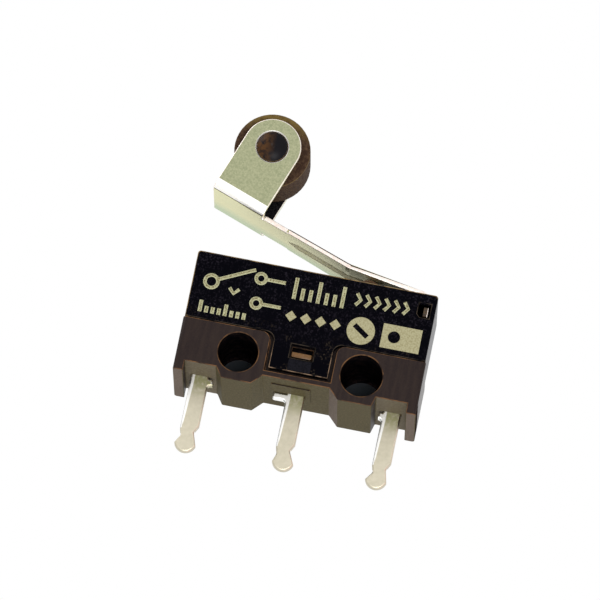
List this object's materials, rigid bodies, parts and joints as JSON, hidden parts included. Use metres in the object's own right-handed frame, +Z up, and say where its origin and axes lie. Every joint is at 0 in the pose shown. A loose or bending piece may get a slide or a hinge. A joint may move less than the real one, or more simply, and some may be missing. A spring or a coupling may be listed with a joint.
{
  "type": "micro switch",
  "caption": "Subminiature snap-action switch: a small rectangular case with flat solder terminals below and a hinged steel lever on top that carries a plastic roller.",
  "frame": {"origin": "midway between the two mounting holes, on the line of their axes, at mid depth of the case", "axes": "+X along the case towards the lever's hinge, -Y out of the front face along the mounting holes, +Z up from the terminals to the lever"},
  "size_m": [0.0128, 0.0058, 0.0185],
  "materials": {
    "base_moulding": "matte dark brown moulding",
    "cover_moulding": "near-black moulding with raised light marks",
    "terminal_tin": "tinned brass, satin",
    "contact_metal": "silver alloy, satin",
    "blade_metal": "copper alloy spring strip",
    "plunger_moulding": "matte brown moulding",
    "lever_steel": "satin rolled stainless sheet",
    "roller_moulding": "dark brown moulding, satin"
  },
  "bodies": {
    "case": {"base": "base_moulding", "cover": "cover_moulding", "terminal_common": "terminal_tin", "terminal_normally_open": "terminal_tin", "terminal_normally_closed": "terminal_tin", "contact_normally_open": "contact_metal", "contact_normally_closed": "contact_metal"},
    "lever": {"lever": "lever_steel"},
    "roller": {"roller": "roller_moulding"},
    "plunger": {"plunger": "plunger_moulding"},
    "blade": {"snap_blade": "blade_metal", "moving_contact": "contact_metal"}
  },
  "joints": [
    {"name": "lever_hinge", "type": "hinge", "parent": "case", "child": "lever", "pos_m": [0.00585, 0, 0.00403], "axis": [0, -1, 0], "range_deg": [0, 10], "stiffness_Nm_per_rad": 0.02, "springref_deg": -11.46},
    {"name": "roller_spin", "type": "hinge", "parent": "lever", "child": "roller", "pos_m": [-0.00373, 0, 0.01137], "axis": [0, 1, 0], "continuous": true},
    {"name": "plunger_slide", "type": "slide", "parent": "case", "child": "plunger", "axis": [0, 0, -1], "range_m": [0, 0.00057]},
    {"name": "blade_hinge", "type": "hinge", "parent": "case", "child": "blade", "pos_m": [-0.00524, 0, 0.00267], "axis": [0, 1, 0], "range_deg": [0, 3.04]}
  ],
  "couplings": [
    {"joint": "plunger_slide", "follows": "lever_hinge", "m_per_rad": 0.0032498},
    {"joint": "blade_hinge", "follows": "lever_hinge", "ratio": 0.30362}
  ]
}
